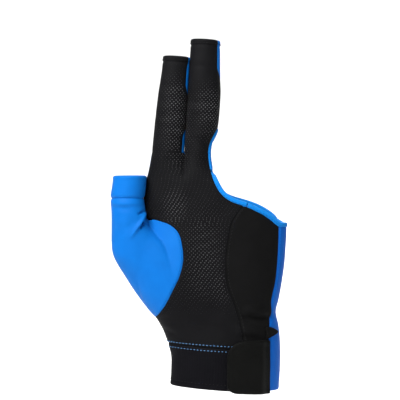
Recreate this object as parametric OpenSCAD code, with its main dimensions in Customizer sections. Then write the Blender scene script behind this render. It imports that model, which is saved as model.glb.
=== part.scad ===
// Three-finger cue-sports glove for a left hand, in its worn, filled shape.
// +Z runs to the fingertips, the palm faces -Y and the thumb is on the -X side.
// The origin is the centre of the wrist opening. Every panel is a shell of its own,
// sewn to its neighbours along a narrow seam.

/* [Fabric] */
// Thickness of the knit panels
fabric_t = 1; // [0.8:0.1:1.2]
// Half of the gap between two panels, where the seam lies
seam_half = 0.35; // [0.3:0.05:0.5]
// Width of the bound edge round the cutout
binding_w = 2.6; // [2:0.2:3]
// Thickness of the bound edge
binding_t = 1.8; // [1.4:0.2:2.2]

/* [Wrist] */
// Height of the elastic cuff band
cuff_top = 24; // [22:0.2:25]
// Half depth of the wrist, palm to back
wrist_depth = 22; // [20:0.5:24]
// Length of one stitch of the cover stitching
stitch_len = 1.6; // [1.2:0.1:2]
// Spacing of the stitches
stitch_pitch = 2.4; // [2.2:0.1:3]
// How far the closure tab reaches across the cuff
tab_len = 24.4; // [22:0.2:28]

/* [Palm] */
// Half depth of the hand at the knuckles
palm_depth = 15; // [14:0.5:17]
// Height of the finger stalls' roots
root_z = 142; // [140:0.5:144]

/* [Stalls] */
// Length of the index stall
index_len = 56; // [52:1:60]
// Length of the middle stall
middle_len = 67; // [62:1:70]
// Distance of the index stall's knuckle from its root
index_knuckle = 21; // [19:1:24]
// Distance of the middle stall's knuckle from its root
middle_knuckle = 29; // [26:1:32]
// Bend of each stall at its root
root_bend = 70; // [30:5:75]
// Bend of each stall at its knuckle
knuckle_bend = 80; // [30:5:85]
// Bend of the thumb stall
thumb_bend = 45; // [20:5:50]
// Width of the hem at each stall's open end
hem_w = 3; // [2:0.5:4]
// Width of the wide turned hem of the thumb stall
thumb_hem_w = 12.4; // [8:0.4:14]

/* [Hidden] */

black_knit = [0.13, 0.13, 0.14];
plain_black = [0.10, 0.10, 0.10];
glove_blue = [0.10, 0.50, 0.92];
binding_blue = [0.14, 0.56, 0.94];
thread_blue = [0.45, 0.70, 0.95];

// Outlines in the front view, as [height, x] pairs
// Edge on the little-finger side, closing in towards the middle stall above the cutout
right_edge = [[0, 31.8], [12, 32.6], [26, 32.8], [38, 31.8], [46, 30.2], [54, 32], [72, 35], [84, 36],
    [98, 36.6], [106, 36], [114, 32], [122, 21], [130, 6], [142, -7.4]];
// Curved seam between the thenar panel and the palm panel
thenar_line = [[40, -43], [51, -35.8], [61, -30.7], [68, -27.4], [76, -25.4], [84, -25.6], [93, -28],
    [98, -33], [100.5, -40], [102, -46.9]];
// Seam between the palm panel and the plain side panel
side_line = [[22, 12], [38, 9], [50, 5.8], [62, 1.3], [75, 0.1], [85, 0.9], [96, 2.8], [101, 4.4],
    [109, 10.2]];
// Seam between the plain side panel and the blue side strip
strip_line = [[0, 24.4], [26, 25.3], [40, 26.1], [47, 27.2], [54, 27.4], [64, 29.6], [74, 30.8],
    [86, 31.4], [97, 31.7]];
// Edge of the cutout round the ring and little fingers
cutout_line = [[97, 32], [100, 28], [105, 20.4], [109, 12.4], [112, 3.6], [117, -2.8], [126, -7.4],
    [136, -9.6], [142, -9.9]];
notch_z = 109;
cutout_low = 97;

// Half depth of the hand, and how much is left of it at the two forks
depth_line = [[0, wrist_depth], [20, wrist_depth], [40, 19], [65, 17.5], [100, palm_depth],
    [125, 12], [142, 9.6]];
finger_fork_x = -24.7;
stall_deep = 9.2;
// The hand is two lobes side by side: the palm, and the thumb as far as its fork
palm_edge = [[0, -32.6], [10, -32.2], [18, -32.4], [28, -35.6], [38, -39.8], [50, -48], [62, -51.5],
    [80, -51.5], [92, -49.5], [102, -47.3], [110, -47.3], [123, -47], [130, -46], [142, -44]];
thumb_inner = [[40, -18], [60, -28], [75, -33], [86, -37], [93, -42.2], [99, -46.2], [142, -46.2]];
thumb_outer = [[40, -40.6], [52, -50], [65, -58.6], [79, -66.5], [88, -67.9], [142, -68]];
lobe_blend = [[70, 13], [84, 12], [92, 8], [100, 3.5], [106, 3]];
// The wrist slants: its thumb side sits higher
wrist_lift = 1.2;
wrist_slope = 0.06;
wrist_mid = 3.5;
fork_blend = 7;

// Shape of the stalls along their length, as [distance, across] pairs about the finger fork
stall_lean = 3.5;
index_out = [[0, -19.2], [16, -18.8], [36, -17.6], [48, -16.4], [60, -16]];
index_in = [[0, -0.5], [10, -0.2], [60, -0.2]];
index_depth = [[0, stall_deep], [20, 8.8], [38, 8], [60, 7.4]];
middle_in = [[0, 0.5], [10, 0.2], [70, 0.2]];
middle_out = [[0, 16.2], [5, 16.6], [15, 19.2], [34, 19.8], [46, 18.8], [70, 17.2]];
middle_depth = [[0, stall_deep], [20, 9.1], [40, 8.6], [70, 7.8]];
stall_y = -0.8;

// Thumb stall: its root line leans, its open end is almost level
thumb_x = -57.6;
thumb_root_half = 10.4;
thumb_half = [[80, 10.5], [95, 10.3], [106, 9.9], [113, 9.7], [118, 9.6], [128, 9.3]];
thumb_deep = 10.4;
thumb_y = -7;
thumb_root_z = 94.2;
thumb_lean = 30;
thumb_top = 127;

// Bend axes lie this far inside the palm-side skin
stall_inset = 3;
thumb_inset = 6;
bend_gap = 0.5;
stall_axis_y = stall_y - stall_deep + stall_inset;
root_wedge = bend_gap + stall_inset * tan(root_bend / 2);
knuckle_wedge = bend_gap + stall_inset * tan(knuckle_bend / 2);
thumb_wedge = bend_gap + thumb_inset * tan(thumb_bend / 2);

row_step = 4;
step_angle = 1;
step_z = 0.4;

// Smooth curve through a table of [position, value] pairs
function span(t, s, i = 0) = i >= len(t) - 2 || s <= t[i + 1][0] ? i : span(t, s, i + 1);
function slope(t, i) = let (a = max(i - 1, 0), b = min(i + 1, len(t) - 1))
    (t[b][1] - t[a][1]) / (t[b][0] - t[a][0]);
function curve(t, s) = let (i = span(t, s), h = t[i + 1][0] - t[i][0],
    u = min(max((s - t[i][0]) / h, 0), 1))
    (1 + 2 * u) * (1 - u) ^ 2 * t[i][1] + u * (1 - u) ^ 2 * h * slope(t, i)
    + u ^ 2 * (3 - 2 * u) * t[i + 1][1] + u ^ 2 * (u - 1) * h * slope(t, i + 1);
function ramp(s, a, b) = let (u = min(max((s - a) / (b - a), 0), 1)) u * u * (3 - 2 * u);
function bump(s, c, w) = exp(-((s - c) / w) ^ 2);
function mix(a, b, u) = a + (b - a) * u;
function unit(v) = v / norm(v);

// The hand: a point at angle a round the section at height z. Angle 0 is the little-finger
// edge, 90 the back, 180 the thumb edge and 270 the palm.
function left_edge(z) = z < 40 ? curve(palm_edge, z) : mix(min(curve(thumb_outer, z), curve(palm_edge, z)),
    curve(palm_edge, z), ramp(z, 98, 102));
function mid_x(z) = (left_edge(z) + curve(right_edge, z)) / 2;
function half_x(z) = (curve(right_edge, z) - left_edge(z)) / 2;
function lobe(x, low, high, deep, power) = let (q = 1 - (2 * (x - low) / (high - low) - 1) ^ 2)
    deep * sign(q) * abs(q) ^ power;
function soft_max(a, b, k) = let (h = min(max(0.5 + (a - b) / k / 2, 0), 1)) mix(b, a, h) + k * h * (1 - h);
function pads(x, z) = 4 * bump(x, -34, 15) * bump(z, 64, 22) + 2.4 * bump(x, 20, 13) * bump(z, 60, 24)
    - 1.2 * bump(x, -4, 12) * bump(z, 84, 18);
function finger_lobes(x, z) = soft_max(lobe(x, curve(palm_edge, z), finger_fork_x, stall_deep, 0.45),
    lobe(x, finger_fork_x, -8.5, stall_deep, 0.45), fork_blend);
function palm_lobe(x, z) = mix(lobe(x, curve(palm_edge, z), curve(right_edge, z), curve(depth_line, z), 0.43),
    finger_lobes(x, z), ramp(z, 122, 142));
function thumb_lobe(x, z) = lobe(x, curve(thumb_outer, z), curve(thumb_inner, z), thumb_deep, 0.45)
    - 4 * (1 - ramp(z, 40, 60)) - 30 * ramp(z, 101, 104);
function thumb_mid_y(z) = thumb_y * ramp(z, 42, 84);
function palm_mid_y(z) = stall_y * ramp(z, 60, 142);
function hand(a, z) = let (x = mid_x(z) + half_x(z) * cos(a), s = sin(a),
    deep = palm_lobe(x, z), bulge = deep > 0 ? pads(x, z) * abs(s) : 0)
    [x, s < 0 ? -soft_max(deep + bulge - palm_mid_y(z), thumb_lobe(x, z) - thumb_mid_y(z), curve(lobe_blend, z))
              : soft_max(deep + palm_mid_y(z), thumb_lobe(x, z) + thumb_mid_y(z), curve(lobe_blend, z)),
     z + (wrist_lift + wrist_slope * (wrist_mid - x)) * (1 - ramp(z, 24, 52))];
function palm_angle(x, z) = 360 - acos(min(max((x - mid_x(z)) / half_x(z), -1), 1));
function back_angle(x, z) = acos(min(max((x - mid_x(z)) / half_x(z), -1), 1));

// A stall: a tube about its own leaning centre line, at distance z from the root line
function stall(inner, outer, deep, a, z) = let (half = abs(curve(outer, z) - curve(inner, z)) / 2,
    across = (curve(outer, z) + curve(inner, z)) / 2 + half * cos(a),
    y = stall_y + curve(deep, z) * sign(sin(a)) * abs(sin(a)) ^ 0.9)
    [finger_fork_x + across * cos(stall_lean) + z * sin(stall_lean), y,
     root_z - across * sin(stall_lean) + z * cos(stall_lean)];
index_skin = function(a, z) stall(index_in, index_out, index_depth, a, z);
middle_skin = function(a, z) stall(middle_in, middle_out, middle_depth, a, z);
hand_skin = function(a, z) hand(a, z);

// The thumb stall: z runs from 0 at the leaning root line to 1 at the open end
function thumb_height(x, z) = mix(thumb_root_z + (x - thumb_x) * tan(thumb_lean), thumb_top, z);
thumb_skin = function(a, z) let (x0 = thumb_x + thumb_root_half * cos(a), h = thumb_height(x0, z))
    [thumb_x + curve(thumb_half, h) * cos(a), thumb_y + thumb_deep * sign(sin(a)) * abs(sin(a)) ^ 0.9, h];
thumb_span = thumb_top - thumb_root_z;

// Outward normal of a skin
function normal(skin, a, z, dz) = unit(cross(skin(a + step_angle, z) - skin(a - step_angle, z),
    skin(a, z + dz) - skin(a, z - dz)));
function lifted(skin, a, z, off, dz = step_z) = skin(a, z) + off * normal(skin, a, z, dz);

// A sewn panel: rows holds rows of [angle, height]; the shell is t thick under offset off
module panel(skin, rows, t = fabric_t, off = 0, dz = step_z) {
    n = len(rows[0]);
    m = len(rows);
    outer = [for (r = rows) for (q = r) lifted(skin, q[0], q[1], off, dz)];
    inner = [for (r = rows) for (q = r) lifted(skin, q[0], q[1], off - t, dz)];
    k = n * m;
    quads = concat(
        [for (j = [0:m - 2]) for (i = [0:n - 2])
            [j * n + i, (j + 1) * n + i, (j + 1) * n + i + 1, j * n + i + 1]],
        [for (j = [0:m - 2]) for (i = [0:n - 2])
            [k + j * n + i, k + j * n + i + 1, k + (j + 1) * n + i + 1, k + (j + 1) * n + i]],
        [for (i = [0:n - 2]) [i, i + 1, k + i + 1, k + i]],
        [for (i = [0:n - 2]) let (e = (m - 1) * n + i) [e + 1, e, k + e, k + e + 1]],
        [for (j = [0:m - 2]) let (e = j * n) [e + n, e, k + e, k + e + n]],
        [for (j = [0:m - 2]) let (e = j * n + n - 1) [e, e + n, k + e + n, k + e]]);
    polyhedron(concat(outer, inner), [for (q = quads) each [[q[0], q[1], q[2]], [q[0], q[2], q[3]]]]);
}

// A closed ring of fabric; rows hold [angle, height] with the first angle not repeated
module ring(skin, rows, t = fabric_t, off = 0, dz = step_z) {
    n = len(rows[0]);
    m = len(rows);
    outer = [for (r = rows) for (q = r) lifted(skin, q[0], q[1], off, dz)];
    inner = [for (r = rows) for (q = r) lifted(skin, q[0], q[1], off - t, dz)];
    k = n * m;
    quads = concat(
        [for (j = [0:m - 2]) for (i = [0:n - 1]) let (p = (i + 1) % n)
            [j * n + i, (j + 1) * n + i, (j + 1) * n + p, j * n + p]],
        [for (j = [0:m - 2]) for (i = [0:n - 1]) let (p = (i + 1) % n)
            [k + j * n + i, k + j * n + p, k + (j + 1) * n + p, k + (j + 1) * n + i]],
        [for (i = [0:n - 1]) let (p = (i + 1) % n) [i, p, k + p, k + i]],
        [for (i = [0:n - 1]) let (e = (m - 1) * n, p = (i + 1) % n) [e + p, e + i, k + e + i, k + e + p]]);
    polyhedron(concat(outer, inner), [for (q = quads) each [[q[0], q[1], q[2]], [q[0], q[2], q[3]]]]);
}

// A bound edge or a seam thread: an oval section swept along points with their normals
module cord(points, normals, w, t, sides = 8) {
    m = len(points);
    pts = [for (j = [0:m - 1]) let (
            ahead = unit(points[min(j + 1, m - 1)] - points[max(j - 1, 0)]),
            side = unit(cross(ahead, normals[j])), up = cross(side, ahead))
        for (i = [0:sides - 1]) let (b = 360 * (i + 0.5) / sides)
            points[j] + side * w / 2 * cos(b) + up * t / 2 * sin(b)];
    walls = [for (j = [0:m - 2]) for (i = [0:sides - 1]) let (p = (i + 1) % sides)
        each [[j * sides + i, (j + 1) * sides + p, (j + 1) * sides + i],
              [j * sides + i, j * sides + p, (j + 1) * sides + p]]];
    caps = [for (i = [1:sides - 2]) each [[0, i + 1, i],
        [(m - 1) * sides, (m - 1) * sides + i, (m - 1) * sides + i + 1]]];
    polyhedron(pts, concat(walls, caps));
}

// Heights of the rows between two ends, at a common pitch so that neighbours match
function heights(z0, z1, step = row_step) = concat([z0],
    [for (k = [ceil((z0 + 0.8) / step):floor((z1 - 0.8) / step)]) k * step], [z1]);
// Rows of a panel between two angle functions
function rows(zs, from, to, n) = [for (z = zs) [for (i = [0:n]) [mix(from(z), to(z), i / n), z]]];
// Angle that a distance across the skin takes at an edge
function gap_angle(z, a) = seam_half / max(norm(hand(a + 1, z) - hand(a - 1, z)) / 2, 0.05);
function before(z, a) = a - gap_angle(z, a);
function after(z, a) = a + gap_angle(z, a);

thumb_edge = 180;
// Heights of the thenar panel's foot and of the thumb stall's root line on the hand
thenar_foot = 40;
root_low = 88;
root_high = 102;
strip_back = 34;
tab_x = curve(strip_line, 14);
slit_x = tab_x - 4;
front_top = root_z - 0.8 - root_wedge;
back_top = root_z - 1.7;
// x of the leaning line where the thumb stall's root meets the hand
function root_line_x(z) = thumb_x + (z - thumb_root_z) / tan(thumb_lean);
function palm_cut_angle(z) = palm_angle(curve(cutout_line, z), z);
dorsal_lift = 3;
// The cutout's edge lies a little higher on the back, up to the notch
function back_cut_angle(z) = z < cutout_low + dorsal_lift ? strip_back
    : max(strip_back, back_angle(curve(cutout_line, z - dorsal_lift * (1 - ramp(z, 106, 118))), z));
// How far the edge rises round the side, at angle a past the little-finger edge
function side_rise(a) = 4 * ramp(a, 10, 40);

module palm_panel() {
    zs = heights(cuff_top + 2 * seam_half, front_top);
    color(black_knit) panel(hand_skin, rows(zs,
        function(z) after(z, z > thenar_foot && z < root_high ? palm_angle(curve(thenar_line, z), z) : thumb_edge),
        function(z) before(z, z < notch_z ? palm_angle(curve(side_line, z), z) : palm_cut_angle(z)), 13));
}

module side_panel() {
    zs = heights(cuff_top + 2 * seam_half, notch_z - 1.2);
    color(plain_black) panel(hand_skin, rows(zs,
        function(z) after(z, palm_angle(curve(side_line, z), z)),
        function(z) before(z, z < cutout_low ? palm_angle(curve(strip_line, z), z) : palm_cut_angle(z)), 6));
}

module thenar_panel() {
    // rows slope up from the thumb edge to the curved seam
    low = thenar_foot + 1.5;
    high = root_high - 1;
    n = 8;
    m = 15;
    wedge = thumb_wedge / cos(thumb_lean);
    color(glove_blue) panel(hand_skin, [for (j = [0:m]) let (v = j / m,
        zl = mix(low, root_low - wedge, v), zr = mix(low, high - wedge, v),
        al = after(zl, thumb_edge),
        ar = before(zr, palm_angle(curve(thenar_line, zr + 0.01), zr)))
        [for (i = [0:n]) [mix(al, ar, i / n), mix(zl, zr, i / n)]]]);
}

module back_panel() {
    zs = heights(cuff_top + 2 * seam_half, back_top);
    color(glove_blue) panel(hand_skin, rows(zs,
        function(z) after(z, back_cut_angle(z)),
        function(z) before(z, z > root_low - 2 * bend_gap && z < root_high
            ? back_angle(min(root_line_x(z + 2 * bend_gap), curve(palm_edge, z)), z) : thumb_edge), 16));
}

module side_strip() {
    zs = heights(0.6, cutout_low - 0.6);
    flat = rows(zs, function(z) after(z, palm_angle(curve(strip_line, z), z)),
        function(z) before(z, 360 + strip_back), 8);
    color(glove_blue) panel(hand_skin, [for (r = flat) [for (q = r)
        [q[0], q[1] + side_rise(q[0] - 360) * ramp(q[1], 85, cutout_low)]]]);
}

module cuff_band() {
    zs = heights(0, cuff_top, 5);
    color(plain_black) panel(hand_skin, rows(zs, function(z) strip_back + gap_angle(z, strip_back),
        function(z) palm_angle(slit_x, z), 26));
}

// One stitch lying on the hand at angle a and height z
module stitch(a, z, off) {
    p = lifted(hand_skin, a, z, off);
    q = normal(hand_skin, a, z, step_z);
    translate(p) rotate([0, 0, atan2(q[1], q[0]) + 90]) cube([stitch_len, 0.5, 0.4], center = true);
}

module cuff_stitching() {
    color(thread_blue) for (line = [cuff_top + 1.7, cuff_top - 1.4])
        for (x = [-31:stitch_pitch:(line > cuff_top ? 22 : -3)])
        stitch(palm_angle(x, line), line, 0.5);
}

// Points and normals for a cord along [angle, height] pairs, shifted sideways in the skin
function on_hand(path, off) = [for (q = path) lifted(hand_skin, q[0], q[1], off)];
function hand_normals(path) = [for (q = path) normal(hand_skin, q[0], q[1], step_z)];
function shifted(points, normals, d) = let (m = len(points)) [for (j = [0:m - 1])
    points[j] + d * unit(cross(points[min(j + 1, m - 1)] - points[max(j - 1, 0)], normals[j]))];

module hand_cord(path, w, t, off, shift = 0, sides = 8) {
    points = on_hand(path, off);
    normals = hand_normals(path);
    cord(shifted(points, normals, shift), normals, w, t, sides);
}

binding_shift = binding_w / 2 + 0.15;
function palm_cut_path(z0, z1) = [for (z = heights(z0, z1, 3)) [palm_cut_angle(z), z]];

module palm_binding() {
    color(binding_blue) hand_cord(palm_cut_path(notch_z + 0.8, front_top), binding_w, binding_t,
        -fabric_t / 2, binding_shift);
}

module side_binding() {
    front = [for (z = heights(cutout_low + 1, notch_z - 0.8, 3)) [palm_cut_angle(z), z]];
    side = [for (a = [-16, -8, 0, 9, 17, 24, 30]) [360 + a, cutout_low + side_rise(a)]];
    back = [for (z = heights(cutout_low + side_rise(strip_back) + 1.2, back_top, 3))
        [360 + back_cut_angle(z), z]];
    turned = [for (j = [len(front) - 1:-1:0]) front[j]];
    color(binding_blue) hand_cord(concat(turned, side, back), binding_w, binding_t,
        -fabric_t / 2, -binding_shift);
}

module thenar_seam() {
    color(thread_blue) hand_cord([for (z = heights(44, 98, 4)) [palm_angle(curve(thenar_line, z), z), z]],
        0.6, 0.5, 0.3, 0, 6);
}

module palm_side_seam() {
    color(plain_black) hand_cord([for (z = heights(32, 106, 4)) [palm_angle(curve(side_line, z), z), z]],
        0.6, 0.5, 0.3, 0, 6);
}

// Layers of the wrist closure, from the cuff outwards
loop_t = 0.8;
hook_off = 2.1;
hook_t = 0.8;
tab_t = 1.1;
tab_off = hook_off + 0.05 + tab_t;

// Rows of a patch on the palm side between x0 and x1, with its lower and upper edges
function patch_rows(x0, x1, low, high, n, m) = [for (j = [0:m]) [for (i = [0:n])
    let (x = mix(x0, x1, i / n), z = mix(low(x), high(x), j / m)) [palm_angle(x, z), z]]];
// Quarter of an ellipse that rounds a corner of the tab
function rounding(u, r) = sqrt(max(1 - (1 - min(max(u, 0) / r, 1)) ^ 2, 0));
function tab_high(x) = let (u = x - tab_x + tab_len) 18.5 + 10.5 * rounding(u, 11) + ramp(u, 8, tab_len);
function tab_low(x) = 3.5 - 4.5 * rounding(x - tab_x + tab_len, 6);

module loop_patch() {
    color(plain_black) panel(hand_skin, patch_rows(tab_x - tab_len + 1.6, slit_x - 0.4,
        function(x) 3.4, function(x) cuff_top - 2.2, 8, 4), loop_t, loop_t + 0.15);
}

module closure_tab() {
    color(plain_black) panel(hand_skin, patch_rows(tab_x - tab_len, tab_x - 0.2,
        function(x) tab_low(x), function(x) tab_high(x), 10, 8), tab_t, tab_off);
}

module hook_patch() {
    color(black_knit) panel(hand_skin, patch_rows(tab_x - tab_len + 2, tab_x - 8,
        function(x) 4.4, function(x) cuff_top - 3.4, 6, 4), hook_t, hook_off);
}

module tab_stitching() {
    color(plain_black) for (z = [2:stitch_pitch:26]) translate(lifted(hand_skin, palm_angle(tab_x - 2, z), z,
        tab_off + 0.3)) cube([0.5, 0.4, stitch_len], center = true);
}

module slit_flap() {
    color(plain_black) panel(hand_skin, [for (j = [0:4]) let (z = mix(31.4, 37.4, j / 4))
        [for (i = [0:4]) let (x = mix(23.6, 24.6 + 5.6 * (1 - abs(z - 35) / 4.4), i / 4))
            [palm_angle(x, z), z]]], 0.8, 0.95);
}

module thumb_half_shell(a0, a1, low, high) {
    n = 10;
    m = 6;
    panel(thumb_skin, [for (j = [0:m]) [for (i = [0:n]) [mix(a0, a1, i / n), mix(low, high, j / m)]]],
        fabric_t, 0, 0.01);
}

thumb_hem_low = 1 - thumb_hem_w / thumb_span;

module thumb_palm_side() {
    color(glove_blue) thumb_half_shell(182, 358, thumb_wedge / thumb_span, thumb_hem_low - 0.01);
}

module thumb_back() {
    color(glove_blue) thumb_half_shell(2, 178, bend_gap * 1.2 / thumb_span, thumb_hem_low - 0.01);
}

module thumb_hem() {
    n = 24;
    color(glove_blue) ring(thumb_skin, [for (v = [thumb_hem_low, mix(thumb_hem_low, 1, 0.5), 1])
        [for (i = [0:n - 1]) [360 * i / n, v]]], fabric_t * 1.5, 0.25, 0.01);
}

// Seams of the stalls, as angles from each side towards the palm, along the stall
gusset_back = 30;
// The palm side of the middle stall reaches just round its thumb-side edge
middle_wrap = 173;
seam_gap_angle = 2;
function sliver(z) = 34 * (1 - ramp(z, 8, 16)) + 40 * ramp(z, 30, 40) * (1 - 0.4 * ramp(z, 48, 58)) - 7;
function back_wrap(z) = 33 * ramp(z, 43, 51);
// Half angle of the cutout's end, on the ring-finger side of the middle stall
notch_end = 14.5;
function notch_angle(z) = 35 * sqrt(max(1 - (max(z, 0) / notch_end) ^ 2, 0));

// One length of a stall: each panel runs between two angle functions of the distance z
module stall_panel(skin, from, to, z0, z1, n, tint) {
    m = ceil((z1 - z0) / 5);
    color(tint) panel(skin, [for (j = [0:m]) let (z = mix(z0, z1, j / m))
        [for (i = [0:n]) [mix(from(z), to(z), i / n), z]]]);
}

module index_palm_side(z0, z1) stall_panel(index_skin, function(z) 183,
    function(z) 360 - sliver(z) - seam_gap_angle, z0, z1, 12, black_knit);
module index_back(z0, z1) stall_panel(index_skin, function(z) gusset_back + seam_gap_angle,
    function(z) 180, z0, z1, 10, glove_blue);
module index_gusset(z0, z1) stall_panel(index_skin, function(z) 360 - sliver(z),
    function(z) 360 + gusset_back, z0, z1, 4, glove_blue);
module middle_palm_side(z0, z1) stall_panel(middle_skin, function(z) middle_wrap + seam_gap_angle,
    function(z) 360 - max(back_wrap(z), notch_angle(z)) - seam_gap_angle, z0, z1, 12, black_knit);
module middle_back(z0, z1) stall_panel(middle_skin, function(z) notch_angle(z) + seam_gap_angle / 2 - (z > notch_end
    ? back_wrap(z) : 0), function(z) 180 - gusset_back - seam_gap_angle, z0, z1, 10, glove_blue);
module middle_gusset(z0, z1) stall_panel(middle_skin, function(z) 180 - gusset_back,
    function(z) middle_wrap, z0, z1, 4, glove_blue);

module stall_hem(skin, z0, z1, tint) {
    n = 20;
    color(tint) ring(skin, [for (z = [z0, z1]) [for (i = [0:n - 1]) [360 * i / n, z]]], fabric_t * 1.2, 0.05);
}

index_low = index_knuckle - knuckle_wedge;
index_high = index_knuckle + knuckle_wedge;
index_end = index_len - hem_w;
middle_low = middle_knuckle - knuckle_wedge;
middle_high = middle_knuckle + knuckle_wedge;
middle_end = middle_len - hem_w;

module index_root_palm_side() index_palm_side(root_wedge, index_low);
module index_root_back() index_back(bend_gap, index_knuckle - bend_gap);
module index_root_gusset() index_gusset(bend_gap, index_knuckle - bend_gap);
module index_tip_palm_side() index_palm_side(index_high, index_end - 0.1);
module index_tip_back() index_back(index_knuckle + bend_gap, index_end - 0.1);
module index_tip_gusset() index_gusset(index_knuckle + bend_gap, index_end - 0.1);
module index_hem() stall_hem(index_skin, index_end, index_len, black_knit);
module middle_root_palm_side() middle_palm_side(root_wedge, middle_low);
module middle_root_back() middle_back(bend_gap, middle_knuckle - bend_gap);
module middle_root_gusset() middle_gusset(bend_gap, middle_knuckle - bend_gap);
module middle_tip_palm_side() middle_palm_side(middle_high, middle_end - 0.1);
module middle_tip_back() middle_back(middle_knuckle + bend_gap, middle_end - 0.1);
module middle_tip_gusset() middle_gusset(middle_knuckle + bend_gap, middle_end - 0.1);
module middle_hem() stall_hem(middle_skin, middle_end, middle_len, black_knit);

// The end of the cutout's binding, over the side of the middle stall from palm to back
module middle_root_binding() {
    low = 2.4;
    lift = binding_w / 2 + 0.55;
    rise = [for (z = [low:2:notch_end - 1.5]) [360 - notch_angle(z), z]];
    path = concat(rise, [[360, notch_end]], [for (j = [len(rise) - 1:-1:0]) [720 - rise[j][0], rise[j][1]]]);
    points = [for (q = path) lifted(middle_skin, q[0], q[1], -fabric_t / 2)];
    normals = [for (q = path) normal(middle_skin, q[0], q[1], step_z)];
    color(binding_blue) cord(shifted(points, normals, lift), normals, binding_w, binding_t);
}

palm_panel();
side_panel();
thenar_panel();
back_panel();
side_strip();
cuff_band();
cuff_stitching();
palm_binding();
side_binding();
thenar_seam();
palm_side_seam();
loop_patch();
slit_flap();
thumb_palm_side();
thumb_back();
thumb_hem();
index_root_palm_side();
index_root_back();
index_root_gusset();
index_tip_palm_side();
index_tip_back();
index_tip_gusset();
index_hem();
middle_root_palm_side();
middle_root_back();
middle_root_gusset();
middle_root_binding();
middle_tip_palm_side();
middle_tip_back();
middle_tip_gusset();
middle_hem();
closure_tab();
hook_patch();
tab_stitching();
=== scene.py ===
"""Looks of the three-finger cue-sports glove: knit panels, bound edges, stitching and closure.

Lengths in the tables are millimetres in the row frame, as in the design; M turns them into metres.
"""

import math

import bpy
import numpy as np
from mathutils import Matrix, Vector

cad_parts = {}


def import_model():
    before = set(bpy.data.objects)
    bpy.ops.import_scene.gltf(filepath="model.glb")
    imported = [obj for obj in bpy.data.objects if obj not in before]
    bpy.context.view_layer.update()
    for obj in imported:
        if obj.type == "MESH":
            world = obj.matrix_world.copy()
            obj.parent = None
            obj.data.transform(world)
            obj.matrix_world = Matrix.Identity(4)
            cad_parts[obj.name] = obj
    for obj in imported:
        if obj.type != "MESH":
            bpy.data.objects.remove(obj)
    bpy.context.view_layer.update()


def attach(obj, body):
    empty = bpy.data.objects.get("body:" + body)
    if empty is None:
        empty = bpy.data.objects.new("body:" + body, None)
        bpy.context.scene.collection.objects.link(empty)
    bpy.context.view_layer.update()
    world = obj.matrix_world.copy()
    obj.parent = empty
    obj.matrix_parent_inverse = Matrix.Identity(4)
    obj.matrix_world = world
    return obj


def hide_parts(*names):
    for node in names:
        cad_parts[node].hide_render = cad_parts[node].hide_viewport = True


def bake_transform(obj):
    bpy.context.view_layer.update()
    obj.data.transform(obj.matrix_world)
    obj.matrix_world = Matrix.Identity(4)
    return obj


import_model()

M = 0.001
HAND, THUMB, TAB = "glove_hand", "thumb_stall", "wrist_tab"

# ---- outlines of the glove
WRIST_DEPTH, PALM_DEPTH, CUFF_TOP, ROOT_Z = 22, 15, 24, 142
WRIST_LIFT, WRIST_SLOPE, WRIST_MID = 1.2, 0.06, 3.5
PALM_EDGE = [[0, -32.6], [10, -32.2], [18, -32.4], [28, -35.6], [38, -39.8], [50, -48], [62, -51.5],
             [80, -51.5], [92, -49.5], [102, -47.9], [109, -49.1], [117, -49.1], [124, -47.8],
             [130, -46.2], [142, -44]]
RIGHT_EDGE = [[0, 31.8], [12, 32.6], [26, 32.8], [38, 31.8], [46, 30.2], [54, 32], [72, 35], [84, 36],
              [98, 36.6], [106, 36], [114, 32], [122, 21], [130, 6], [142, -7.4]]
THENAR_LINE = [[40, -43], [51, -35.8], [61, -30.7], [68, -27.4], [76, -25.4], [84, -25.6], [93, -28],
               [98, -33], [100.5, -40], [102, -46.9]]
SIDE_LINE = [[22, 12], [38, 9], [50, 5.8], [62, 1.3], [75, 0.1], [85, 0.9], [96, 2.8], [101, 4.4],
             [109, 10.2]]
STRIP_LINE = [[0, 24.4], [26, 25.3], [40, 26.1], [47, 27.2], [54, 27.4], [64, 29.6], [74, 30.8],
              [86, 31.4], [97, 31.7]]
CUTOUT_LINE = [[97, 32], [100, 28], [105, 20.4], [109, 12.4], [112, 3.6], [117, -2.8], [126, -7.4],
               [136, -9.6], [142, -9.9]]
NOTCH_Z, CUTOUT_LOW, DORSAL_LIFT, STRIP_BACK = 109, 97, 3, 34
DEPTH_LINE = [[0, WRIST_DEPTH], [20, WRIST_DEPTH], [40, 19], [65, 17.5], [100, PALM_DEPTH], [125, 12],
              [142, 9.6]]
THUMB_INNER = [[40, -18], [60, -28], [75, -33], [86, -37], [93, -42.2], [99, -46.2], [142, -46.2]]
THUMB_OUTER = [[40, -40.6], [52, -50], [65, -58.6], [79, -66.5], [88, -67.9], [142, -68]]
FORK_X, STALL_LEAN, STALL_Y, STALL_DEEP = -24.7, math.radians(3.5), -0.8, 9.2
STALLS = {
    "index": {"out": [[0, -19.2], [16, -18.8], [36, -17.6], [48, -16.4], [60, -16]],
              "in": [[0, -0.12], [10, 0.12], [60, 0.12]],
              "deep": [[0, 9.2], [20, 8.8], [38, 8], [60, 7.4]], "len": 56, "knuckle": 21, "split": 12.5,
              "dots": 51},
    "middle": {"in": [[0, 0.12], [10, -0.12], [70, -0.12]],
               "out": [[0, 16.2], [5, 16.6], [15, 19.2], [34, 19.8], [46, 18.8], [70, 17.2]],
               "deep": [[0, 9.2], [20, 9.1], [40, 8.6], [70, 7.8]], "len": 67, "knuckle": 29,
               "split": 17, "dots": 46},
}
HEM_W, NOTCH_END, GUSSET_BACK = 3, 14.5, 30
THUMB_X, THUMB_HALF, THUMB_DEEP, THUMB_Y = -57.6, 10.4, 10.4, -7
THUMB_ROOT_Z, THUMB_LEAN, THUMB_TOP, THUMB_HEM_Z = 94.2, math.radians(30), 127, 114
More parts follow.
